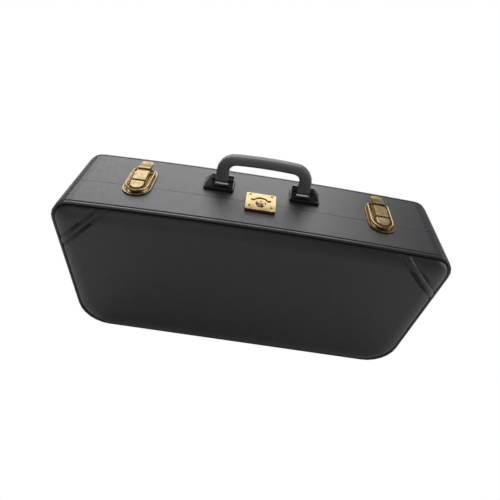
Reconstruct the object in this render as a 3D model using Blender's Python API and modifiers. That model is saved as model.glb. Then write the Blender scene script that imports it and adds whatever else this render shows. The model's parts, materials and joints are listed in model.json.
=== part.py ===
# Hard saxophone case standing on its hinge edge. The case is a rounded trapezoid, long at the
# latch side and shorter at the hinge side, split into a shallow lid and a deeper base.
# Metres, +Z up, +X along the case, +Y from the lid towards the base.
import math

import bmesh
import bpy
from mathutils import Matrix, Vector

# Outline of the shells, measured with the corners taken as sharp
half_top = 0.320
half_bottom = 0.286
shell_height = 0.262
top_corner_radius = 0.033
bottom_corner_radius = 0.053
top_bow = 0.0055            # the latch side rises this much in the middle
lid_depth = 0.0625          # parting plane to the lid's outer face
base_depth = 0.0925
wall = 0.008
shell_edge = 0.0015         # softened edge where the band meets the face

# Padded faces, their piping and the sewn corner patches
piping_radius = 0.0026
pad_edge = 0.003            # upright edge of the pad behind its crown
pad_rise = 0.0135
pad_round = 0.026           # width of the crown's rounding
pad_corner_extra = 0.010    # the pad's lower corners are rounder than the shell's
patch_along_top = 0.098     # sharp corner to the seam, along the latch side
patch_down_side = 0.080
patch_proud = 0.0008

# Lining
lip_thickness = 0.0035
lip_rise = 0.006            # the lining band stands this far out of the base
lip_clearance = 0.0008
lining_thickness = 0.005
tray_set_back = 0.010       # parting plane to the plush tray
tray_floor = 0.008

# Feet and hinges under the hinge side
foot_height = 0.009
foot_radius = 0.011
foot_x = 0.212
lid_foot_y = 0.031
base_foot_y = 0.066
hinge_spacing = 0.165
hinge_length = 0.050
leaf_thickness = 0.0012
leaf_width = 0.024
knuckle_radius = 0.0029
hinge_pin_radius = 0.0014

# Fittings on the latch side
fittings_x = 0.0032         # the fittings' centre line, a little right of the middle
latch_spacing = 0.2007      # centre line to each latch
plate_half_width = 0.0225
plate_front = 0.0295        # parting plane to the front end of the oval plates
plate_back = 0.0605
plate_thickness = 0.0012
plate_rim = 0.0022
rim_width = 0.0020
lever_half_width = 0.0103
lever_pivot_y = 0.0082
lever_pivot_z = 0.0066
lever_height = 0.0112
lever_nose_radius = 0.0045
lever_lip_y = 0.039
lever_end_y = 0.0690
lever_wall = 0.0018
latch_ear_radius = 0.0023
tab_thickness = 0.0026
bail_pivot_y = 0.0475
bail_height = 0.0060
bail_radius = 0.0019
bail_half_width = 0.0176
bail_front = 0.0218         # parting plane to the middle of the loop's front
lug_half_width = 0.0110
lug_height = 0.0104
rivet_radius = 0.0018
latch_pin_radius = 0.0013

lock_half_width = 0.0246
lock_front = 0.0275
lock_back = 0.0225
lock_height = 0.0045
lock_sheet = 0.0012
lock_arch_radius = 0.0115
lock_arch_y = 0.0035        # centre of the arch, in front of the parting plane
plug_y = 0.0070
boss_radius = 0.0090
boss_height = 0.0030
plug_radius = 0.0056
cam_length = 0.0205

handle_y = 0.0380
handle_pivot_z = 0.0150
handle_half_span = 0.0690
handle_rise = 0.0366        # pivot to the middle of the grip
handle_corner = 0.0220
handle_arch = 0.0015
leg_width = 0.0215
leg_depth = 0.0150
grip_height = 0.0172
grip_depth = 0.0200
handle_pin_radius = 0.0025
bracket_inner = 0.0220
bracket_outer = 0.0290
bracket_half_depth = 0.0180
bracket_slab = 0.0050
ear_radius = 0.0072
inner_ear = 0.0085
outer_ear = 0.0060

# Plush tray: recesses as (left, right, bottom, top, depth, corner radius) from the shell's bottom
bell_recess = (-0.258, -0.030, 0.030, 0.230, 0.066, 0.040)
tube_recess = (-0.060, 0.250, 0.030, 0.128, 0.066, 0.030)
neck_recess = (-0.018, 0.040, 0.150, 0.232, 0.045, 0.018)
rod_recess = (0.062, 0.262, 0.216, 0.236, 0.024, 0.008)
box_recess = (0.066, 0.262, 0.150, 0.196, 0.060, 0.006)
box_ledge = 0.004
box_lid_thickness = 0.005
box_pin_radius = 0.0012
saddle_places = (0.050, 0.185)
saddle_thickness = 0.022
saddle_height = 0.034
saddle_notch = 0.032

# Clearances
seat = 0.0003               # between neighbouring pieces
parting = 0.0006            # between the two halves
swing = 0.0004              # beside pieces that turn
pin_clearance = 0.0003
corner_segments = 6
bow_segments = 10

# Derived places
shell_base = foot_height + seat
parting_y = -(base_depth - lid_depth) / 2
hinge_z = shell_base - seat - knuckle_radius
pad_inset = 2 * piping_radius + 2 * seat
side_lean = math.atan2(half_top - half_bottom, shell_height)
top_flat = half_top - top_corner_radius / math.tan((math.pi / 2 - side_lean) / 2)
lining_inset = wall + seat + lip_thickness + seat
tray_back = base_depth - wall - seat

for leftover in list(bpy.data.objects):
    bpy.data.objects.remove(leftover, do_unlink=True)
case = bpy.data.collections.new("saxophone_case")
cutters = bpy.data.collections.new("cutters")
for group in (case, cutters):
    bpy.context.scene.collection.children.link(group)


def make_material(name, colour, roughness, metallic=0.0):
    material = bpy.data.materials.new(name)
    material.use_nodes = True
    shader = material.node_tree.nodes["Principled BSDF"]
    shader.inputs["Base Color"].default_value = (*colour, 1.0)
    shader.inputs["Roughness"].default_value = roughness
    shader.inputs["Metallic"].default_value = metallic
    material.diffuse_color = (*colour, 1.0)
    return material


leatherette = make_material("leatherette", (0.030, 0.030, 0.033), 0.45)
piping_vinyl = make_material("piping_vinyl", (0.036, 0.036, 0.039), 0.38)
antique_brass = make_material("antique_brass", (0.50, 0.38, 0.18), 0.32, 1.0)
lock_brass = make_material("lock_brass", (0.78, 0.60, 0.27), 0.25, 1.0)
black_plastic = make_material("black_plastic", (0.012, 0.012, 0.013), 0.40)
handle_plastic = make_material("handle_plastic", (0.055, 0.055, 0.058), 0.55)
plush = make_material("plush", (0.16, 0.018, 0.030), 0.95)
rubber = make_material("rubber", (0.020, 0.020, 0.020), 0.80)


# Placing and combining

def place(shape, parent, world):
    """Parents a shape to an unturned empty and puts its origin at a point of the case."""
    shape.parent = parent
    shape.location = Vector(world) - (parent.location if parent else Vector())


def add_object(name, data, material, parent=None, world=(0, 0, 0), group=case):
    shape = bpy.data.objects.new(name, data)
    group.objects.link(shape)
    if material:
        data.materials.append(material)
    place(shape, parent, world)
    return shape


def finish_mesh(name, bm):
    bmesh.ops.recalc_face_normals(bm, faces=bm.faces)
    mesh = bpy.data.meshes.new(name)
    bm.to_mesh(mesh)
    bm.free()
    return mesh


def combine(shape, tool_mesh, operation="DIFFERENCE"):
    """Cuts or joins a second mesh, given in the shape's own coordinates."""
    tool = add_object(f"{shape.name}_{operation.lower()}_{len(shape.modifiers)}", tool_mesh, None,
                      group=cutters)
    tool.parent = shape
    tool.hide_render = True
    tool.display_type = "WIRE"
    change = shape.modifiers.new(tool.name, "BOOLEAN")
    change.operation = operation
    change.solver = "EXACT"
    change.object = tool


def shade_round(mesh, angle=35):
    mesh.shade_smooth()
    mesh.set_sharp_from_angle(angle=math.radians(angle))


# Shapes

def loft(name, rings, closed_loop=False):
    """Skin over rings of equal length. The end rings are capped, or joined in a closed loop."""
    bm = bmesh.new()
    loops = [[bm.verts.new(point) for point in ring] for ring in rings]
    following = loops[1:] + loops[:1] if closed_loop else loops[1:]
    for near, far in zip(loops, following):
        for i in range(len(near)):
            bm.faces.new((near[i - 1], near[i], far[i], far[i - 1]))
    if not closed_loop:
        bm.faces.new(loops[0])
        bm.faces.new(loops[-1])
    return finish_mesh(name, bm)


def prism(name, points, axis, low, high):
    """A flat outline extruded along x, y or z. Its points hold the two other coordinates."""
    order = {"x": lambda a, b: (low, a, b), "y": lambda a, b: (a, low, b),
             "z": lambda a, b: (a, b, low)}[axis]
    direction = {"x": Vector((1, 0, 0)), "y": Vector((0, 1, 0)), "z": Vector((0, 0, 1))}[axis]
    bm = bmesh.new()
    face = bm.faces.new([bm.verts.new(order(a, b)) for a, b in points])
    grown = bmesh.ops.extrude_face_region(bm, geom=[face])
    top = [item for item in grown["geom"] if isinstance(item, bmesh.types.BMVert)]
    bmesh.ops.translate(bm, verts=top, vec=direction * (high - low))
    return finish_mesh(name, bm)


def box(name, low, high):
    bm = bmesh.new()
    bmesh.ops.create_cube(bm, size=1)
    size = Vector(high) - Vector(low)
    centre = (Vector(high) + Vector(low)) / 2
    bmesh.ops.transform(bm, verts=bm.verts,
                        matrix=Matrix.Translation(centre) @ Matrix.Diagonal((*size, 1)))
    return finish_mesh(name, bm)


def turn_to(axis):
    return {"x": Matrix.Rotation(math.pi / 2, 4, "Y"), "z": Matrix.Identity(4)}[axis]


def cylinder(name, radius, axis, low, high, centre=(0, 0), segments=16, end_radius=None):
    """A round bar along x or z; centre holds the other two coordinates."""
    middle = (low + high) / 2
    where = {"x": (middle, *centre), "z": (*centre, middle)}[axis]
    bm = bmesh.new()
    bmesh.ops.create_cone(bm, cap_ends=True, segments=segments, radius1=radius,
                          radius2=radius if end_radius is None else end_radius,
                          depth=high - low, matrix=Matrix.Translation(where) @ turn_to(axis))
    mesh = finish_mesh(name, bm)
    shade_round(mesh)
    return mesh


def arc(centre, radius, start, end, segments):
    """Points on an arc, angles in degrees."""
    steps = [math.radians(start + (end - start) * i / segments) for i in range(segments + 1)]
    return [(centre[0] + radius * math.cos(a), centre[1] + radius * math.sin(a)) for a in steps]


def rounded_rectangle(left, right, bottom, top, radius, segments=4):
    points = []
    for x, z, start in ((right, top, 0), (left, top, 90), (left, bottom, 180),
                        (right, bottom, 270)):
        centre = (x - math.copysign(radius, x - (left + right) / 2),
                  z - math.copysign(radius, z - (bottom + top) / 2))
        points += arc(centre, radius, start, start + 90, segments)
    return points


def edge_inset_x(height, inset):
    """Half length of the case at a height, on its slanted side moved inwards by the inset."""
    return half_bottom + height * math.tan(side_lean) - inset / math.cos(side_lean)


def outline(inset, bottom_extra=0.0):
    """The case's outline as (x, z), moved inwards: corner arcs and the bowed latch side."""
    low, high = inset, shell_height - inset
    top_x, bottom_x = edge_inset_x(high, inset), edge_inset_x(low, inset)
    lean = math.degrees(side_lean)
    least_radius = 0.003
    top_r = max(top_corner_radius - inset, least_radius)
    bottom_r = max(bottom_corner_radius + bottom_extra - inset, least_radius)
    top_run = top_r / math.tan((math.pi / 2 - side_lean) / 2)
    bottom_run = bottom_r / math.tan((math.pi / 2 + side_lean) / 2)
    right_top = arc((top_x - top_run, high - top_r), top_r, -lean, 90, corner_segments)
    right_bottom = arc((bottom_x - bottom_run, low + bottom_r), bottom_r, -90, -lean,
                       corner_segments)
    end_x = top_x - top_run
    steps = [1 - 2 * i / bow_segments for i in range(1, bow_segments)]
    bow = [(end_x * t, high + top_bow * (1 - t * t)) for t in steps]
    left = [(-x, z) for x, z in reversed(right_bottom + right_top)]
    return right_bottom + right_top + bow + left


def ring(inset, depth, bottom_extra=0.0):
    return [Vector((x, depth, z)) for x, z in outline(inset, bottom_extra)]


def deck_height(x):
    """Height of the latch side over the ground at a place along the case."""
    return shell_base + shell_height + top_bow * (1 - (x / top_flat) ** 2)


def deck_tilt(x):
    return math.atan(2 * top_bow * x / top_flat ** 2)


def shell_tray(name, depth, side, parent):
    """One half of the wooden shell under its covering: band, face and hollow."""
    rim = side * parting / 2
    face = side * depth
    inner = side * (depth - wall)
    rings = [ring(wall, inner), ring(wall, rim), ring(0, rim),
             ring(0, face - side * shell_edge), ring(shell_edge, face)]
    mesh = loft(name, rings)
    shade_round(mesh)
    return add_object(name, mesh, leatherette, parent, (0, parting_y, shell_base))


def crown_rings(depth, side, lift):
    """Rings of a padded face: upright edge, then a quarter round up to the flat crown."""
    steps = 5
    rings = [ring(pad_inset, side * (depth + seat), pad_corner_extra)]
    for i in range(steps + 1):
        angle = math.pi / 2 * i / steps
        inset = pad_inset + pad_round * (1 - math.cos(angle))
        height = pad_edge + (pad_rise - pad_edge + lift) * math.sin(angle)
        rings.append(ring(inset, side * (depth + seat + height), pad_corner_extra))
    return rings


def seam_plane(hand):
    """A point on the sewn diagonal of one upper corner, and its normal towards the corner."""
    on_top = Vector((half_top - patch_along_top, 0, shell_height))
    on_side = Vector((edge_inset_x(shell_height - patch_down_side, 0), 0,
                      shell_height - patch_down_side))
    run = on_side - on_top
    normal = Vector((-run.z, 0, run.x)).normalized()
    return Vector((hand * on_top.x, 0, on_top.z)), Vector((hand * normal.x, 0, normal.z))


def keep_beside_seam(mesh, hand, keep_corner):
    """Cuts a pad along the seam with half a seat on each side, and closes the cut."""
    point, normal = seam_plane(hand)
    offset = normal * (seat / 2 if keep_corner else -seat / 2)
    bm = bmesh.new()
    bm.from_mesh(mesh)
    cut = bmesh.ops.bisect_plane(bm, geom=bm.verts[:] + bm.edges[:] + bm.faces[:],
                                 plane_co=point + offset, plane_no=normal,
                                 clear_inner=keep_corner, clear_outer=not keep_corner)
    rim = [item for item in cut["geom_cut"] if isinstance(item, bmesh.types.BMEdge)]
    bmesh.ops.holes_fill(bm, edges=rim, sides=0)
    bmesh.ops.recalc_face_normals(bm, faces=bm.faces)
    bm.to_mesh(mesh)
    bm.free()


def padded_face(prefix, depth, side, parent):
    """The padded leatherette face with its piping and two sewn corner patches."""
    middle = loft(f"{prefix}_panel", crown_rings(depth, side, 0))
    for hand in (-1, 1):
        keep_beside_seam(middle, hand, False)
    shade_round(middle)
    add_object(f"{prefix}_panel", middle, leatherette, parent, (0, parting_y, shell_base))
    for hand, word in ((-1, "left"), (1, "right")):
        patch = loft(f"{prefix}_patch_{word}", crown_rings(depth, side, patch_proud))
        keep_beside_seam(patch, hand, True)
        shade_round(patch)
        add_object(f"{prefix}_patch_{word}", patch, leatherette, parent,
                   (0, parting_y, shell_base))
    bead = bpy.data.curves.new(f"{prefix}_piping", "CURVE")
    bead.dimensions = "3D"
    bead.bevel_depth = piping_radius
    bead.bevel_resolution = 1
    run = bead.splines.new("POLY")
    points = outline(piping_radius)
    run.points.add(len(points) - 1)
    run.use_cyclic_u = True
    for point, (x, z) in zip(run.points, points):
        point.co = (x, side * (depth + seat + piping_radius), z, 1)
    add_object(f"{prefix}_piping", bead, piping_vinyl, parent, (0, parting_y, shell_base))


def latch_oval(inset, height):
    """The oval plate's outline: two half circles joined by straight sides, at one height."""
    radius = plate_half_width
    front, back = -plate_front + radius, plate_back - radius
    points = arc((0, back), radius - inset, 0, 180, 8) + arc((0, front), radius - inset, 180, 360, 8)
    return [Vector((x, y, height)) for x, y in points]


def latch_plate(name, side, parent, x):
    """Half of the oval: a sheet with a raised rim, ending at the parting plane."""
    floor, top = seat + plate_thickness, seat + plate_rim
    rings = [latch_oval(0, seat), latch_oval(0, top), latch_oval(rim_width, top),
             latch_oval(rim_width + plate_rim - plate_thickness, floor)]
    mesh = loft(name, rings)
    bm = bmesh.new()
    bm.from_mesh(mesh)
    cut = bmesh.ops.bisect_plane(bm, geom=bm.verts[:] + bm.edges[:] + bm.faces[:],
                                 plane_co=(0, side * parting, 0), plane_no=(0, -side, 0),
                                 clear_outer=True)
    rim = [item for item in cut["geom_cut"] if isinstance(item, bmesh.types.BMEdge)]
    bmesh.ops.holes_fill(bm, edges=rim, sides=0)
    bmesh.ops.recalc_face_normals(bm, faces=bm.faces)
    bm.to_mesh(mesh)
    bm.free()
    plate = add_object(name, mesh, antique_brass)
    on_deck(plate, parent, x)
    for hand in (-1, 1):
        combine(plate, cylinder(f"{name}_rivet", rivet_radius * 0.8, "z", floor - 0.0005,
                                floor + 0.0009, (hand * 0.0148, side * 0.0082), 8,
                                rivet_radius * 0.5), "UNION")
    return plate


def on_deck(shape, parent, x, offset=(0, 0, 0)):
    """Sets a fitting on the latch side, square to the bowed surface under it."""
    turn = Matrix.Rotation(deck_tilt(x), 4, "Y")
    place(shape, parent, Vector((x, parting_y, deck_height(x))) + turn @ Vector(offset))
    shape.rotation_euler = turn.to_euler()


def ear_profile(centre_y, centre_z, radius, half_foot, low):
    """Side view of an ear: a foot that narrows up to a round top around its pin."""
    round_top = arc((centre_y, centre_z), radius, -20, 200, 7)
    return [(centre_y + half_foot, low)] + round_top + [(centre_y - half_foot, low)]


# Shells, padded faces and lining

def build_shells(lid_axis):
    shell_tray("lid_shell", lid_depth, -1, lid_axis)
    shell_tray("base_shell", base_depth, 1, None)
    padded_face("front", lid_depth, -1, lid_axis)
    padded_face("back", base_depth, 1, None)


def build_lining(lid_axis):
    """The lining band that stands out of the base, and the plush tray inside the lid."""
    inner = wall + lip_clearance + lip_thickness
    band = [ring(wall + seat, tray_back), ring(wall + seat, parting / 2),
            ring(wall + lip_clearance, 0), ring(wall + lip_clearance, -lip_rise),
            ring(inner, -lip_rise), ring(inner, 0),
            ring(wall + seat + lip_thickness, parting / 2),
            ring(wall + seat + lip_thickness, tray_back)]
    add_object("lining_band", loft("lining_band", band, closed_loop=True), plush, None,
               (0, parting_y, shell_base))
    floor = lid_depth - wall - seat
    start = lip_rise + 0.002
    edge = wall + seat
    tray = [ring(edge + lining_thickness, -(floor - lining_thickness)),
            ring(edge + lining_thickness, -start), ring(edge, -start), ring(edge, -floor)]
    add_object("lid_lining", loft("lid_lining", tray), plush, lid_axis,
               (0, parting_y, shell_base))


def build_tray():
    """The plush block in the base, with recesses for the instrument and its small parts."""
    name = "plush_tray"
    mesh = loft(name, [ring(lining_inset + lip_clearance, tray_set_back),
                       ring(lining_inset + lip_clearance, tray_back)])
    tray = add_object(name, mesh, plush, None, (0, parting_y, shell_base))
    past = 0.004
    for left, right, bottom, top, depth, radius in (bell_recess, tube_recess, neck_recess,
                                                    rod_recess, box_recess):
        shape = rounded_rectangle(left, right, bottom, top, radius)
        combine(tray, prism(f"{name}_recess", shape, "y", tray_set_back - past,
                            tray_set_back + depth))
    left, right, bottom, top = box_recess[:4]
    combine(tray, box(f"{name}_ledge",
                      (left - box_ledge, tray_set_back - past, bottom - box_ledge),
                      (right + box_ledge, tray_set_back + box_lid_thickness + 2 * seat,
                       top + box_ledge)))
    build_saddles()


def build_saddles():
    """Two saddles across the narrow recess, notched for the instrument's body tube."""
    bottom, top = tube_recess[2] + seat, tube_recess[3] - seat
    floor = tray_set_back + tube_recess[4] - seat
    front = floor - saddle_height
    middle = (bottom + top) / 2
    notch = arc((front, middle), saddle_notch, 90, -90, 10)
    notch = [(2 * front - y, z) if y < front else (y, z) for y, z in notch]
    profile = [(floor, bottom), (floor, top), (front, top)] + notch + [(front, bottom)]
    for x, word in zip(saddle_places, ("middle", "right")):
        mesh = prism(f"saddle_{word}", profile, "x", -saddle_thickness / 2, saddle_thickness / 2)
        add_object(f"saddle_{word}", mesh, plush, None, (x, parting_y, shell_base))


def build_box_lid():
    """The small compartment's lid, turning on two pins along its upper edge."""
    left, right, bottom, top = box_recess[:4]
    half_length = (right - left) / 2 + box_ledge - swing
    low, high = bottom - box_ledge + swing, top + box_ledge - swing
    half_board = box_lid_thickness / 2
    axis_z = high - half_board
    board = [(-half_board, low - axis_z)] + [
        (y, z) for y, z in arc((0, 0), half_board, 180, 0, 6)] + [(half_board, low - axis_z)]
    centre = ((left + right) / 2, parting_y + tray_set_back + half_board + seat, shell_base + axis_z)
    hinge = bpy.data.objects.new("box_lid_axis", None)
    case.objects.link(hinge)
    hinge.location = centre
    lid = add_object("box_lid", prism("box_lid", board, "x", -half_length, half_length), plush,
                     hinge, centre)
    combine(lid, cylinder("box_lid_bore", box_pin_radius + pin_clearance, "x",
                          -half_length - swing, half_length + swing, segments=8))
    pin_length = 0.014
    pin_end = half_length
    for hand, word in ((-1, "left"), (1, "right")):
        low_x, high_x = sorted((hand * pin_end, hand * (pin_end - pin_length)))
        pin = cylinder(f"box_lid_pin_{word}", box_pin_radius, "x", low_x, high_x, segments=8)
        add_object(f"box_lid_pin_{word}", pin, antique_brass, None, centre)
    tab_half_width, tab_length, tab_sheet = 0.008, 0.016, 0.0012
    tab_front = -half_board - swing - tab_sheet
    tab = rounded_rectangle(-tab_half_width, tab_half_width, low - axis_z + 0.002,
                            low - axis_z + 0.002 + tab_length, 0.003, 2)
    add_object("box_lid_tab", prism("box_lid_tab", tab, "y", tab_front, tab_front + tab_sheet),
               leatherette, hinge, centre)


# Feet and hinges

def build_feet(lid_axis):
    """Turned rubber feet with a softened lower edge."""
    profile = [(0, 0, foot_height), (foot_radius * 0.82, 0, foot_height),
               (foot_radius, 0, foot_height * 0.70), (foot_radius, 0, foot_height * 0.25),
               (foot_radius * 0.86, 0, 0), (0, 0, 0)]
    for hand, word in ((-1, "left"), (1, "right")):
        for front, y, parent in (("front", -lid_foot_y, lid_axis), ("rear", base_foot_y, None)):
            name = f"foot_{front}_{word}"
            mesh = bpy.data.meshes.new(name)
            mesh.from_pydata(profile, [(i, i + 1) for i in range(len(profile) - 1)], [])
            foot = add_object(name, mesh, rubber, parent, (hand * foot_x, parting_y + y, 0))
            spin = foot.modifiers.new("turned", "SCREW")
            spin.angle = 2 * math.pi
            spin.steps = 14
            spin.render_steps = 14
            spin.use_merge_vertices = True
            spin.merge_threshold = 0.00001


def hinge_leaf(name, side, knuckles, parent, centre_x):
    """A leaf with its share of the knuckles, seated under the hinge side."""
    half = hinge_length / 2
    top = knuckle_radius
    start, end = knuckle_radius + swing, leaf_width
    low_y, high_y = sorted((side * start, side * end))
    plate = prism(name, rounded_rectangle(-half, half, low_y, high_y, 0.003, 2), "z",
                  top - leaf_thickness, top)
    leaf = add_object(name, plate, antique_brass, parent,
                      (centre_x, parting_y, hinge_z))
    for low_x, high_x in knuckles:
        combine(leaf, cylinder(f"{name}_knuckle", knuckle_radius, "x", low_x, high_x,
                               segments=12), "UNION")
        near, far = sorted((0.0, side * (start + 0.004)))
        combine(leaf, box(f"{name}_web", (low_x, near, top - leaf_thickness),
                          (high_x, far, top)), "UNION")
    rivet_y = side * (knuckle_radius + leaf_width) / 2
    for rivet_x in (-0.016, 0.016):
        combine(leaf, cylinder(f"{name}_rivet", rivet_radius * 0.6, "z",
                               top - leaf_thickness - 0.0008, top - leaf_thickness / 2,
                               (rivet_x, rivet_y), 8, rivet_radius), "UNION")
    combine(leaf, cylinder(f"{name}_bore", hinge_pin_radius + pin_clearance, "x",
                           -half - swing, half + swing, segments=12))


def build_hinges(lid_axis):
    """Three butt hinges: two knuckles on the base leaf, one between them on the lid leaf."""
    half = hinge_length / 2
    third = hinge_length / 6
    for place_x, word in ((-hinge_spacing, "left"), (0.0, "middle"), (hinge_spacing, "right")):
        hinge_leaf(f"hinge_leaf_base_{word}", 1, [(-half, -third - swing / 2),
                                                  (third + swing / 2, half)], None, place_x)
        hinge_leaf(f"hinge_leaf_lid_{word}", -1, [(-third + swing / 2, third - swing / 2)],
                   lid_axis, place_x)
        pin = cylinder(f"hinge_pin_{word}", hinge_pin_radius, "x", -half, half, segments=12)
        add_object(f"hinge_pin_{word}", pin, antique_brass, None,
                   (place_x, parting_y, hinge_z))


# Latches: each is a drawbolt. The lever turns on a pin in the base plate's ears and carries
# the loop, whose front drops over a lug on the lid's plate.

def lever_body(name):
    """The lever seen from the side, as (y, z) from its pivot: nose, flat top, lip and tab."""
    top = lever_height - lever_pivot_z
    lip = lever_lip_y - lever_pivot_y
    end = lever_end_y - lever_pivot_y
    skirt_end = bail_pivot_y - lever_pivot_y + 0.0045
    skirt_low = 0.0022 + seat - lever_pivot_z
    nose = arc((0, 0), lever_nose_radius, 90, 250, 6)
    upper = [(end, top - 0.0004), (end - 0.006, top - 0.0018), (lip + 0.006, top + 0.0020),
             (lip + 0.0006, top + 0.0024), (lip, top + 0.0018), (lip, top)]
    lower = [(0.004, skirt_low), (skirt_end - 0.003, skirt_low), (skirt_end, skirt_low + 0.003),
             (skirt_end, top - tab_thickness + 0.0002),
             (end - 0.006, top - 0.0018 - tab_thickness), (end + 0.0006, top - tab_thickness)]
    return prism(name, upper + nose + lower, "x", -lever_half_width, lever_half_width)


def build_lever(name, x):
    lever = add_object(name, lever_body(name), antique_brass)
    on_deck(lever, None, x, (0, lever_pivot_y, lever_pivot_z))
    hollow = lever_half_width - lever_wall
    roof = lever_height - lever_pivot_z - lever_wall
    combine(lever, box(f"{name}_hollow", (-hollow, -lever_nose_radius - 0.001, -lever_pivot_z),
                       (hollow, bail_pivot_y - lever_pivot_y + 0.0025, roof)))
    reach = lever_half_width + 0.001
    combine(lever, cylinder(f"{name}_bore", latch_pin_radius + pin_clearance, "x",
                            -reach, reach, segments=12))
    combine(lever, cylinder(f"{name}_bail_bore", bail_radius + pin_clearance, "x", -reach, reach,
                            (bail_pivot_y - lever_pivot_y, bail_height - lever_pivot_z), 12))
    tip_radius = 0.006
    for hand in (-1, 1):
        corner_x = hand * (lever_half_width - tip_radius)
        corner_y = lever_end_y - lever_pivot_y - tip_radius
        start = 90 if hand < 0 else 0
        sweep = arc((corner_x, corner_y), tip_radius, start, start + 90, 5)
        outer = (hand * (lever_half_width + 0.001), lever_end_y - lever_pivot_y + 0.002)
        side_low = (outer[0], sweep[-1][1] if hand < 0 else sweep[0][1])
        side_high = (sweep[0][0] if hand < 0 else sweep[-1][0], outer[1])
        corner = sweep + ([side_low, outer, side_high] if hand < 0
                          else [side_high, outer, side_low])
        combine(lever, prism(f"{name}_tip", corner, "z", -0.004, 0.010))
    return lever


def bail_path():
    """The loop's middle line from its left end to its right end, from the loop's pivot."""
    front = -bail_pivot_y - bail_front
    end_x = lever_half_width - lever_wall
    bend = 0.005
    half = [(-end_x, 0), (-bail_half_width + bend, 0)]
    half += arc((-bail_half_width + bend, -bend), bend, 90, 180, 3)[1:]
    round_front = arc((0, front + bail_half_width), bail_half_width, 180, 360, 14)
    return half + round_front + [(-x, y) for x, y in reversed(half)]


def build_bail(name, lever):
    wire = bpy.data.curves.new(name, "CURVE")
    wire.dimensions = "3D"
    wire.bevel_depth = bail_radius
    wire.bevel_resolution = 2
    wire.use_fill_caps = True
    points = bail_path()
    run = wire.splines.new("POLY")
    run.points.add(len(points) - 1)
    for point, (x, y) in zip(run.points, points):
        point.co = (x, y, 0, 1)
    bail = add_object(name, wire, antique_brass)
    bail.parent = lever
    bail.location = (0, bail_pivot_y - lever_pivot_y, bail_height - lever_pivot_z)


def build_latch(word, x, lid_axis):
    base = latch_plate(f"latch_base_{word}", 1, None, x)
    ear_outer = lever_half_width - lever_wall - swing
    ear_inner = ear_outer - 0.0016
    low = seat + plate_thickness / 2
    profile = ear_profile(lever_pivot_y, lever_pivot_z, latch_ear_radius, latch_ear_radius, low)
    for near, far in ((-ear_outer, -ear_inner), (ear_inner, ear_outer)):
        combine(base, prism(f"{base.name}_ear", profile, "x", near, far), "UNION")
    combine(base, cylinder(f"{base.name}_bore", latch_pin_radius + seat, "x", -ear_outer - swing,
                           ear_outer + swing, (lever_pivot_y, lever_pivot_z), 12))
    lever = build_lever(f"latch_lever_{word}", x)
    build_bail(f"latch_bail_{word}", lever)
    reach = lever_half_width + 0.0006
    pin = add_object(f"latch_pin_{word}", cylinder(f"latch_pin_{word}", latch_pin_radius, "x",
                                                   -reach, reach, segments=12), antique_brass)
    on_deck(pin, None, x, (0, lever_pivot_y, lever_pivot_z))
    plate = latch_plate(f"latch_catch_{word}", -1, lid_axis, x)
    back = -parting
    front = -bail_front + bail_radius + seat
    middle = front + lug_half_width
    outline_points = arc((0, middle), lug_half_width, 180, 360, 8) + [
        (lug_half_width, back), (-lug_half_width, back)]
    slope = 0.0022
    rings = [[Vector((px, py, low)) for px, py in outline_points],
             [Vector((px, py, lug_height - slope * (py - back) / (front - back)))
              for px, py in outline_points]]
    top_inset = 0.0014
    crown = [Vector((px * (1 - top_inset / lug_half_width), back + (py - back) * 0.93,
                     lug_height + 0.0009 - slope * (py - back) / (front - back)))
             for px, py in outline_points]
    combine(plate, loft(f"{plate.name}_lug", rings + [crown]), "UNION")


# Lock in the middle of the latch side

def lock_outline(side, inset):
    """Plan of one lock plate; the front plate's tongue enters the back plate's arch."""
    half = lock_half_width - inset
    gap = parting / 2 + (inset if side > 0 else 0)
    corner = 0.0025
    if side < 0:
        radius = lock_arch_radius - inset
        reach = math.degrees(math.asin((lock_arch_y - gap + parting) / radius))
        tongue = arc((0, -lock_arch_y), radius, reach, 180 - reach, 8)
        front = -lock_front + inset
        return ([(half, -gap)] + tongue + [(-half, -gap)]
                + arc((-half + corner, front + corner), corner, 180, 270, 3)
                + arc((half - corner, front + corner), corner, 270, 360, 3))
    radius = lock_arch_radius + parting + inset
    reach = math.degrees(math.asin((lock_arch_y + gap) / radius))
    arch = arc((0, -lock_arch_y), radius, 180 - reach, reach, 8)
    back = lock_back - inset
    return (arc((half - corner, back - corner), corner, 0, 90, 3)
            + arc((-half + corner, back - corner), corner, 90, 180, 3)
            + [(-half, gap)] + arch + [(half, gap)])


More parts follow.
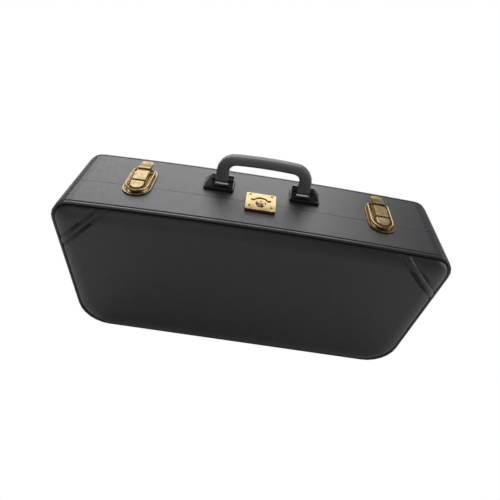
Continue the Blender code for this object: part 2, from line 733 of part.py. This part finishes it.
def build_lock(lid_axis):
    x = fittings_x
    front = add_object("lock_plate", prism("lock_plate", lock_outline(-1, 0), "z", seat,
                                           seat + lock_height), lock_brass)
    on_deck(front, lid_axis, x)
    hollow = lock_outline(-1, lock_sheet)
    roof = seat + lock_height - lock_sheet
    combine(front, prism("lock_plate_hollow", hollow, "z", -0.001, roof))
    opening = lock_arch_radius + 0.0100
    combine(front, box("lock_plate_mouth", (-opening, -parting - lock_sheet * 2, -0.001),
                       (opening, lock_arch_radius, roof)))
    rise = seat + lock_height
    combine(front, cylinder("lock_boss", boss_radius, "z", rise - lock_sheet / 2,
                            rise + boss_height, (0, -plug_y), 20, boss_radius * 0.80), "UNION")
    combine(front, cylinder("lock_plug_bore", plug_radius + pin_clearance, "z", -0.002,
                            rise + boss_height + 0.002, (0, -plug_y), 16))
    keeper = add_object("lock_keeper", prism("lock_keeper", lock_outline(1, 0), "z", seat,
                                             seat + lock_height), lock_brass)
    on_deck(keeper, None, x)
    hump = arc((0, -lock_arch_y), lock_arch_radius + parting + 0.0055, 160, 20, 8)
    inner = arc((0, -lock_arch_y), lock_arch_radius + parting, 20, 160, 8)
    combine(keeper, prism("lock_keeper_hump", hump + inner, "z", rise - lock_sheet / 2,
                          rise + 0.0016), "UNION")
    combine(keeper, prism("lock_keeper_hollow", lock_outline(1, lock_sheet), "z", -0.001, roof))
    combine(keeper, box("lock_keeper_mouth", (-opening, -0.002, -0.001),
                        (opening, lock_arch_radius, roof)))
    build_lock_plug(lid_axis, x, rise)
    build_lock_screws(lid_axis, x, rise)


def build_lock_plug(lid_axis, x, rise):
    """The key plug with its slot, and the cam under it that reaches into the keeper."""
    low = seat + 0.0006
    plug = add_object("lock_plug", cylinder("lock_plug", plug_radius, "z", low,
                                            rise + boss_height + 0.0004, segments=16), lock_brass)
    on_deck(plug, lid_axis, x, (0, -plug_y, 0))
    arm_half_width, arm_height = 0.0022, 0.0014
    combine(plug, box("lock_cam", (0, -arm_half_width, low),
                      (cam_length, arm_half_width, low + arm_height)), "UNION")
    slot_top = rise + boss_height + 0.002
    combine(plug, box("lock_key_slot", (-0.0008, -0.0034, slot_top - 0.0050),
                      (0.0008, 0.0034, slot_top)))


def build_lock_screws(lid_axis, x, rise):
    for side, word, parent, y in ((1, "keeper", None, 0.0185), (-1, "plate", lid_axis, -0.0160)):
        for hand, end in ((-1, "left"), (1, "right")):
            name = f"lock_screw_{word}_{end}"
            head = cylinder(name, rivet_radius * 1.2, "z", 0, 0.0010, segments=10,
                            end_radius=rivet_radius * 0.8)
            screw = add_object(name, head, lock_brass)
            on_deck(screw, parent, x, (hand * 0.0178, y, rise + seat))


# Handle

def handle_stations():
    """Middle line of the handle from the left pivot to the right one, with its in-plane normal
    and how far each station has turned from leg (0) to grip (1)."""
    stations = []
    rise = handle_rise - handle_corner
    for i in range(3):
        stations.append((-handle_half_span, rise * i / 2, -1.0, 0.0, 0.0))
    for i in range(1, 6):
        angle = math.pi - math.pi / 2 * i / 5
        x = -handle_half_span + handle_corner + handle_corner * math.cos(angle)
        stations.append((x, rise + handle_corner * math.sin(angle), math.cos(angle),
                         math.sin(angle), i / 5))
    flat = handle_half_span - handle_corner
    for i in range(1, 4):
        t = -1 + i / 4
        stations.append((flat * t, handle_rise + handle_arch * (1 - t * t), 0.0, 1.0, 1.0))
    stations.append((0.0, handle_rise + handle_arch, 0.0, 1.0, 1.0))
    mirrored = [(-x, z, -nx, nz, blend) for x, z, nx, nz, blend in reversed(stations[:-1])]
    return stations + mirrored


def handle_mesh(name):
    rings = []
    for x, z, nx, nz, blend in handle_stations():
        across = (leg_width + (grip_height - leg_width) * blend) / 2
        deep = (leg_depth + (grip_depth - leg_depth) * blend) / 2
        squareness = 0.62 + 0.16 * blend
        section = []
        for i in range(14):
            angle = 2 * math.pi * i / 14
            c, s = math.cos(angle), math.sin(angle)
            u = across * math.copysign(abs(c) ** squareness, c)
            v = deep * math.copysign(abs(s) ** squareness, s)
            section.append(Vector((x + nx * u, v, z + nz * u)))
        rings.append(section)
    return loft(name, rings)


def build_handle():
    centre = Vector((fittings_x, parting_y + handle_y, deck_height(fittings_x) + handle_pivot_z))
    handle = add_object("handle", handle_mesh("handle"), handle_plastic, None, centre)
    barrel = leg_depth / 2 + 0.0003
    for hand in (-1, 1):
        middle = hand * handle_half_span
        combine(handle, cylinder("handle_barrel", barrel, "x", middle - leg_width / 2,
                                 middle + leg_width / 2), "UNION")
    reach = handle_half_span + leg_width
    combine(handle, cylinder("handle_bore", handle_pin_radius + pin_clearance, "x", -reach, reach,
                             segments=12))
    shade_round(handle.data, 40)
    for hand, word in ((-1, "left"), (1, "right")):
        build_bracket(word, hand, centre)


def build_bracket(word, hand, centre):
    """One handle bracket: slab, two ears around the leg and a slanted outer buttress."""
    def span(near, far):
        return sorted((hand * near, hand * far))

    name = f"handle_bracket_{word}"
    x = centre.x + hand * handle_half_span
    drop = deck_height(x) + seat - centre.z
    slab_top = drop + bracket_slab
    low_x, high_x = span(-bracket_inner, bracket_outer)
    half = bracket_half_depth
    plan = rounded_rectangle(low_x, high_x, -half, half, 0.004, 3)
    waist = rounded_rectangle(low_x + 0.0012, high_x - 0.0012, -half + 0.0012, half - 0.0012,
                              0.0034, 3)
    rings = [[Vector((px, py, drop)) for px, py in plan],
             [Vector((px, py, slab_top - 0.0012)) for px, py in plan],
             [Vector((px, py, slab_top)) for px, py in waist]]
    bracket = add_object(name, loft(name, rings), black_plastic, None, (x, centre.y, centre.z))
    ear_low = slab_top - 0.002
    gap = leg_width / 2 + swing
    profile = ear_profile(0, 0, ear_radius, half - 0.003, ear_low)
    for near, far in ((-gap - inner_ear, -gap), (gap, gap + outer_ear)):
        near_x, far_x = span(near, far)
        combine(bracket, prism(f"{name}_ear", profile, "x", near_x, far_x), "UNION")
    combine(bracket, buttress_mesh(f"{name}_buttress", hand, gap + outer_ear - 0.001, ear_low,
                                   slab_top), "UNION")
    for side in (-1, 1):
        near_y, far_y = sorted((side * (half - 0.0045), side * (half - 0.002)))
        near_x, far_x = span(-gap - 0.001, gap + 0.001)
        combine(bracket, box(f"{name}_ridge", (near_x, near_y, ear_low),
                             (far_x, far_y, slab_top + 0.0028)), "UNION")
    reach = bracket_outer + 0.002
    near_x, far_x = span(-reach, reach)
    combine(bracket, cylinder(f"{name}_bore", handle_pin_radius + seat, "x", near_x, far_x,
                              segments=12))
    near_x, far_x = span(-gap - inner_ear + 0.0005, gap + outer_ear + 0.0005)
    pin = cylinder(f"handle_pin_{word}", handle_pin_radius, "x", near_x, far_x, segments=12)
    add_object(f"handle_pin_{word}", pin, antique_brass, None, (x, centre.y, centre.z))


def buttress_mesh(name, hand, start, low, slab_top):
    """The outer ear's support: the hull of its side view and a low bar near the slab's end."""
    bm = bmesh.new()
    upper = ear_profile(0, 0, ear_radius - 0.0008, bracket_half_depth - 0.004, low)
    end = bracket_outer - 0.002
    lower = [(side * (bracket_half_depth - 0.006), z) for side in (-1, 1)
             for z in (low, slab_top + 0.0012)]
    points = [(hand * start, y, z) for y, z in upper] + [(hand * end, y, z) for y, z in lower]
    hull = bmesh.ops.convex_hull(bm, input=[bm.verts.new(point) for point in points])
    spare = [item for item in hull["geom_unused"] if isinstance(item, bmesh.types.BMVert)]
    bmesh.ops.delete(bm, geom=spare, context="VERTS")
    return finish_mesh(name, bm)


lid_hinge_axis = bpy.data.objects.new("lid_hinge_axis", None)
case.objects.link(lid_hinge_axis)
lid_hinge_axis.location = (0, parting_y, hinge_z)
build_shells(lid_hinge_axis)
build_lining(lid_hinge_axis)
build_tray()
build_box_lid()
build_feet(lid_hinge_axis)
build_hinges(lid_hinge_axis)
for latch_word, latch_x in (("left", fittings_x - latch_spacing),
                            ("right", fittings_x + latch_spacing)):
    build_latch(latch_word, latch_x, lid_hinge_axis)
build_lock(lid_hinge_axis)
build_handle()
bpy.context.view_layer.update()
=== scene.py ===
# Dresses the saxophone case: padded leatherette faces, finishes, studio light and camera.
import json
import math

import bpy
import numpy as np
from mathutils import Matrix, Vector


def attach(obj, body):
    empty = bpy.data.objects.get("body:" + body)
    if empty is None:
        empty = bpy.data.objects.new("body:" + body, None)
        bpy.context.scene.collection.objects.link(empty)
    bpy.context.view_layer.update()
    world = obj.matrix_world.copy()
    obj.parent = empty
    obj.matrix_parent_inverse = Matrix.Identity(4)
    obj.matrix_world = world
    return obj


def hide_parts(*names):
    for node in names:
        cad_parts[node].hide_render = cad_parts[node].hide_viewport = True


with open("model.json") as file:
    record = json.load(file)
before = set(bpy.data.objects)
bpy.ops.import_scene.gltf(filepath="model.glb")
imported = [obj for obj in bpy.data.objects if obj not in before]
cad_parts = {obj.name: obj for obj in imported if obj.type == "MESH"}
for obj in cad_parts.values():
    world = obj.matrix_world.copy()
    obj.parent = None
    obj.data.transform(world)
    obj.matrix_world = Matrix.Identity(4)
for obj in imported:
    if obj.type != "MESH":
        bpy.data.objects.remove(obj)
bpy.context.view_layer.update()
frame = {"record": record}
caseCollection = bpy.context.scene.collection


def mixColour(tree, low, high, factor):
    # Colour = low + (high - low) * factor.
    mix = tree.nodes.new("ShaderNodeMix")
    mix.data_type = "RGBA"
    mix.inputs["A"].default_value = (*low, 1)
    mix.inputs["B"].default_value = (*high, 1)
    tree.links.new(factor, mix.inputs["Factor"])
    return mix.outputs["Result"]


def makeFinish(name, look):
    # Noise blends two colours and two roughnesses; cells make the bump.
    material = bpy.data.materials.new(name)
    material.use_nodes = True
    tree = material.node_tree
    shader = tree.nodes["Principled BSDF"]
    shader.inputs["Metallic"].default_value = look["metallic"]
    place = tree.nodes.new("ShaderNodeTexCoord")
    noise = tree.nodes.new("ShaderNodeTexNoise")
    noise.inputs["Scale"].default_value = look["patchScale"]
    noise.inputs["Detail"].default_value = 6
    tree.links.new(place.outputs["Object"], noise.inputs["Vector"])
    tree.links.new(mixColour(tree, look["dark"], look["light"], noise.outputs["Fac"]),
                   shader.inputs["Base Color"])
    rough = tree.nodes.new("ShaderNodeMapRange")
    rough.inputs["To Min"].default_value = look["roughness"] - look["roughSpread"]
    rough.inputs["To Max"].default_value = look["roughness"] + look["roughSpread"]
    tree.links.new(noise.outputs["Fac"], rough.inputs["Value"])
    tree.links.new(rough.outputs["Result"], shader.inputs["Roughness"])
    cells = tree.nodes.new("ShaderNodeTexVoronoi")
    cells.inputs["Scale"].default_value = look["grainScale"]
    tree.links.new(place.outputs["Object"], cells.inputs["Vector"])
    bump = tree.nodes.new("ShaderNodeBump")
    bump.inputs["Strength"].default_value = look["bump"]
    bump.inputs["Distance"].default_value = look["bumpDepth"]
    tree.links.new(cells.outputs["Distance"], bump.inputs["Height"])
    tree.links.new(bump.outputs["Normal"], shader.inputs["Normal"])
    if look.get("sheen"):
        shader.inputs["Sheen Weight"].default_value = look["sheen"]
    return material


# Colours are linear; scales are cells per metre, depths are metres.
finishLooks = {
    "leatherette": {"dark": (0.010, 0.010, 0.012), "light": (0.022, 0.022, 0.026),
                    "roughness": 0.42, "roughSpread": 0.06, "metallic": 0, "patchScale": 60,
                    "grainScale": 760, "bump": 0.45, "bumpDepth": 0.0004},
    "piping_vinyl": {"dark": (0.022, 0.022, 0.024), "light": (0.036, 0.036, 0.040),
                     "roughness": 0.36, "roughSpread": 0.05, "metallic": 0, "patchScale": 90,
                     "grainScale": 1100, "bump": 0.20, "bumpDepth": 0.0003},
    "antique_brass": {"dark": (0.08, 0.050, 0.018), "light": (0.42, 0.31, 0.16),
                      "roughness": 0.32, "roughSpread": 0.10, "metallic": 1, "patchScale": 120,
                      "grainScale": 500, "bump": 0.10, "bumpDepth": 0.0002},
    "lock_brass": {"dark": (0.13, 0.085, 0.03), "light": (0.50, 0.38, 0.19),
                   "roughness": 0.26, "roughSpread": 0.08, "metallic": 1, "patchScale": 90,
                   "grainScale": 400, "bump": 0.08, "bumpDepth": 0.0002},
    "black_plastic": {"dark": (0.006, 0.006, 0.007), "light": (0.012, 0.012, 0.013),
                      "roughness": 0.26, "roughSpread": 0.05, "metallic": 0, "patchScale": 80,
                      "grainScale": 1500, "bump": 0.05, "bumpDepth": 0.0001},
    "handle_plastic": {"dark": (0.080, 0.080, 0.083), "light": (0.115, 0.115, 0.118),
                       "roughness": 0.50, "roughSpread": 0.05, "metallic": 0, "patchScale": 70,
                       "grainScale": 1800, "bump": 0.12, "bumpDepth": 0.0002},
    "plush": {"dark": (0.09, 0.008, 0.016), "light": (0.22, 0.026, 0.044),
              "roughness": 0.92, "roughSpread": 0.05, "metallic": 0, "patchScale": 140,
              "grainScale": 1300, "bump": 0.7, "bumpDepth": 0.0008, "sheen": 0.6},
    "rubber": {"dark": (0.012, 0.012, 0.012), "light": (0.026, 0.026, 0.026),
               "roughness": 0.75, "roughSpread": 0.08, "metallic": 0, "patchScale": 120,
               "grainScale": 900, "bump": 0.2, "bumpDepth": 0.0003},
}
finishes = {name: makeFinish("finish_" + name, look) for name, look in finishLooks.items()}
slotOfNode = {part["node"]: part["material_slot"] for part in frame["record"]["subparts"]}
for node, slotName in slotOfNode.items():
    cadObject = bpy.data.objects[node]
    cadObject.data.materials.clear()
    cadObject.data.materials.append(finishes[slotName])
print("stage: finishes")

# The padded faces: outline of the case, then the pad's edge, crown, seams and creases.
padding = {"halfTop": 0.320, "halfBottom": 0.286, "height": 0.262, "topRadius": 0.033,
           "bottomRadius": 0.063, "bow": 0.0055, "inset": 0.0058, "edge": 0.003,
           "rise": 0.0132, "round": 0.026, "pillow": 0.0016, "seamDepth": 0.0036,
           "seamWidth": 0.0019, "bandWidth": 0.0115, "bandSwell": 0.0020,
           "seamBend": 0.0075, "bendLength": 0.112, "seamTop": 0.098, "seamSide": 0.080,
           "patchSwell": 0.0006,
           "pucker": 0.0002, "puckerLength": 0.013}
partingY, shellBase, seat = -0.015, 0.0093, 0.0003
lean = math.atan2(padding["halfTop"] - padding["halfBottom"], padding["height"])


def sideX(height, inset):
    return padding["halfBottom"] + height * math.tan(lean) - inset / math.cos(lean)


def caseOutline(inset):
    # Points of the rounded trapezoid moved inwards: corner arcs of r = R - inset, a top side
    # raised by bow * (1 - t^2), and the other sides divided more finely near the seams.
    low, high = inset, padding["height"] - inset
    topR = max(padding["topRadius"] - inset, 0.002)
    lowR = max(padding["bottomRadius"] - inset, 0.002)
    topX = sideX(high, inset) - topR / math.tan((math.pi / 2 - lean) / 2)
    lowX = sideX(low, inset) - lowR / math.tan((math.pi / 2 + lean) / 2)
    lowTurn = np.linspace(-math.pi / 2, -lean, 22)
    topTurn = np.linspace(-lean, math.pi / 2, 22)
    lowArc = np.stack([lowX + lowR * np.cos(lowTurn), low + lowR + lowR * np.sin(lowTurn)], 1)
    topArc = np.stack([topX + topR * np.cos(topTurn), high - topR + topR * np.sin(topTurn)], 1)
    side = lowArc[-1] + (topArc[0] - lowArc[-1]) * (
        1 - (1 - np.linspace(0, 1, 82)[1:-1, None]) ** 1.5)
    right = np.concatenate([lowArc, side, topArc])
    t = np.sin(math.pi / 2 * np.linspace(1, -1, 202)[1:-1])
    top = np.stack([topX * t, high + padding["bow"] * (1 - t * t)], 1)
    left = right[::-1] * (-1, 1)
    s = np.linspace(-1, 1, 42)[1:-1]
    bottom = np.stack([lowX * s, np.full(len(s), low)], 1)
    return np.concatenate([right, top, left, bottom])


def seamOffset(points):
    # Signed distance past the sewn diagonal: (|x| - x0) nx + (z - z0) nz.
    start = np.array([padding["halfTop"] - padding["seamTop"], padding["height"]])
    stopZ = padding["height"] - padding["seamSide"]
    run = np.array([sideX(stopZ, 0), stopZ]) - start
    normal = np.array([-run[1], run[0]]) / np.linalg.norm(run)
    along = run / np.linalg.norm(run)
    away = np.stack([np.abs(points[..., 0]), points[..., 1]], -1) - start
    return away @ normal, away @ along


def paddedFace(name, depth, side, nodes, body):
    # y = side * (depth + rise(i)), with rise = edge + (crown - edge) sin(a) over the rounding,
    # plus pillow * (1 - t^2) inside it, minus seamDepth * exp(-(d / width)^2) at both seams of
    # the sewn band, plus bandSwell * exp(-((d / band - 0.5) / 0.32)^2) between them. The seams bend
    # down the side by seamBend * (s / bendLength)^1.2, with s the distance along them.
    turn = np.linspace(0, math.pi / 2, 14)
    rings, heights = [caseOutline(padding["inset"])], [np.zeros(1)]
    for angle in turn:
        rings.append(caseOutline(padding["inset"] + padding["round"] * (1 - math.cos(angle))))
        heights.append(np.array([padding["edge"]
                                 + (padding["rise"] - padding["edge"]) * math.sin(angle)]))
    centre = np.array([0, padding["height"] / 2])
    for t in np.linspace(0, 1, 150)[1:-1] ** 1.7:
        rings.append(centre + (rings[len(turn)] - centre) * (1 - t))
        heights.append(np.array([padding["rise"]]))
    flat = np.stack(rings)
    height = np.repeat(np.stack(heights), flat.shape[1], 1)
    away, along = seamOffset(flat)
    away = away + padding["seamBend"] * np.clip(along / padding["bendLength"], 0, 1.2) ** 1.2
    onTop = height / padding["rise"]
    groove = np.exp(-(away / padding["seamWidth"]) ** 2)
    groove += 0.8 * np.exp(-((away - padding["bandWidth"]) / padding["seamWidth"]) ** 2)
    band = np.exp(-((away / padding["bandWidth"] - 0.5) / 0.32) ** 2)
    pucker = np.cos(2 * math.pi * along / padding["puckerLength"]) * np.exp(-np.abs(away) / 0.010)
    height = height - onTop * padding["seamDepth"] * groove
    height += onTop * padding["bandSwell"] * band
    height += onTop * padding["pucker"] * pucker * (1 - np.clip(groove, 0, 1))
    height += onTop * padding["patchSwell"] * (away > 0)
    reach = np.clip((flat[..., 0] / padding["halfTop"]) ** 2, 0, 1)
    height += padding["pillow"] * (1 - reach) * np.clip(onTop - 0.9, 0, 0.1) * 6
    points = np.stack([flat[..., 0], partingY + side * (depth + seat + height),
                       flat[..., 1] + shellBase], -1)
    rows, columns = points.shape[:2]
    index = np.arange(rows * columns).reshape(rows, columns)
    after = np.roll(index, -1, 1)
    quads = np.stack([index[:-1], after[:-1], after[1:], index[1:]], -1).reshape(-1, 4)
    crown = points[-1].mean(0)
    back = points[0].mean(0)
    vertices = np.concatenate([points.reshape(-1, 3), [crown, back]])
    fans = [(a, b, len(vertices) - 2) for a, b in zip(index[-1], after[-1])]
    fans += [(b, a, len(vertices) - 1) for a, b in zip(index[0], after[0])]
    faces = [tuple(q) for q in quads.tolist()] + fans
    if side > 0:
        faces = [tuple(reversed(face)) for face in faces]
    mesh = bpy.data.meshes.new(name)
    mesh.from_pydata(vertices.tolist(), [], faces)
    mesh.shade_smooth()
    mesh.materials.append(finishes["leatherette"])
    piece = bpy.data.objects.new(name, mesh)
    caseCollection.objects.link(piece)
    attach(piece, body)
    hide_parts(*nodes)


def nodesOf(prefix):
    return [prefix + "_panel", prefix + "_patch_left", prefix + "_patch_right"]


paddedFace("frontPadding", 0.0625, -1, nodesOf("front"), "lid")
paddedFace("backPadding", 0.0925, 1, nodesOf("back"), "base")
print("stage: padded faces")


# Floor, light and camera

def whiteToCamera(tree, lit):
    # Camera rays see the white world, straight or through the floor; others the lit shader.
    path = tree.nodes.new("ShaderNodeLightPath")
    if lit.type == "BACKGROUND":
        plain = tree.nodes.new("ShaderNodeBackground")
        plain.inputs["Color"].default_value = (1, 1, 1, 1)
        plain.inputs["Strength"].default_value = 1
    else:
        plain = tree.nodes.new("ShaderNodeBsdfTransparent")
    mix = tree.nodes.new("ShaderNodeMixShader")
    tree.links.new(path.outputs["Is Camera Ray"], mix.inputs["Fac"])
    tree.links.new(lit.outputs[0], mix.inputs[1])
    tree.links.new(plain.outputs[0], mix.inputs[2])
    return mix.outputs[0]


floorMesh = bpy.data.meshes.new("studioFloor")
floorMesh.from_pydata([(-6, -6, 0), (6, -6, 0), (6, 6, 0), (-6, 6, 0)], [], [(0, 1, 2, 3)])
floor = bpy.data.objects.new("studioFloor", floorMesh)
caseCollection.objects.link(floor)
pale = bpy.data.materials.new("paleFloor")
pale.use_nodes = True
paleShader = pale.node_tree.nodes["Principled BSDF"]
paleShader.inputs["Base Color"].default_value = (0.85, 0.85, 0.85, 1)
paleShader.inputs["Roughness"].default_value = 0.9
pale.node_tree.links.new(whiteToCamera(pale.node_tree, paleShader),
                         pale.node_tree.nodes["Material Output"].inputs["Surface"])
floorMesh.materials.append(pale)

world = bpy.data.worlds.new("studio")
world.use_nodes = True
bpy.context.scene.world = world
ambient = world.node_tree.nodes["Background"]
ambient.inputs["Color"].default_value = (1, 1, 1, 1)
ambient.inputs["Strength"].default_value = 0.22
world.node_tree.links.new(whiteToCamera(world.node_tree, ambient),
                          world.node_tree.nodes["World Output"].inputs["Surface"])

lights = {
    "topBox": {"at": (-0.3, 1.3, 1.5), "size": 2.2, "power": 50},
    "frontFill": {"at": (-0.8, -2.0, 1.2), "size": 1.6, "power": 6},
    "rightStrip": {"at": (2.0, -0.2, 0.8), "size": 1.0, "power": 14},
}
for name, lampSetting in lights.items():
    data = bpy.data.lights.new(name, "AREA")
    data.size = lampSetting["size"]
    data.energy = lampSetting["power"]
    lamp = bpy.data.objects.new(name, data)
    caseCollection.objects.link(lamp)
    lamp.location = lampSetting["at"]
    aim = Vector((0, 0, 0.2)) - lamp.location
    lamp.rotation_euler = aim.to_track_quat("-Z", "Y").to_euler()

view = {"focalPixels": 435.81, "pixels": 500, "elevation": 37.63, "roll": 9.57, "yaw": 1.85,
        "at": (-0.0208, -0.6247, 0.6492)}
elevation, roll, yaw = (math.radians(view[k]) for k in ("elevation", "roll", "yaw"))
forward = Vector((math.sin(yaw) * math.cos(elevation), math.cos(yaw) * math.cos(elevation),
                  -math.sin(elevation)))
level = Vector((math.cos(yaw), -math.sin(yaw), 0))
upright = level.cross(forward)
across = level * math.cos(roll) + upright * math.sin(roll)
above = -level * math.sin(roll) + upright * math.cos(roll)
cameraData = bpy.data.cameras.new("photoCamera")
cameraData.sensor_width = 36
cameraData.lens = view["focalPixels"] * cameraData.sensor_width / view["pixels"]
camera = bpy.data.objects.new("photoCamera", cameraData)
caseCollection.objects.link(camera)
turned = Matrix((across, above, -forward)).transposed().to_4x4()
camera.matrix_world = Matrix.Translation(view["at"]) @ turned
bpy.context.scene.camera = camera
bpy.context.scene.view_settings.view_transform = "Standard"
print("stage: studio")
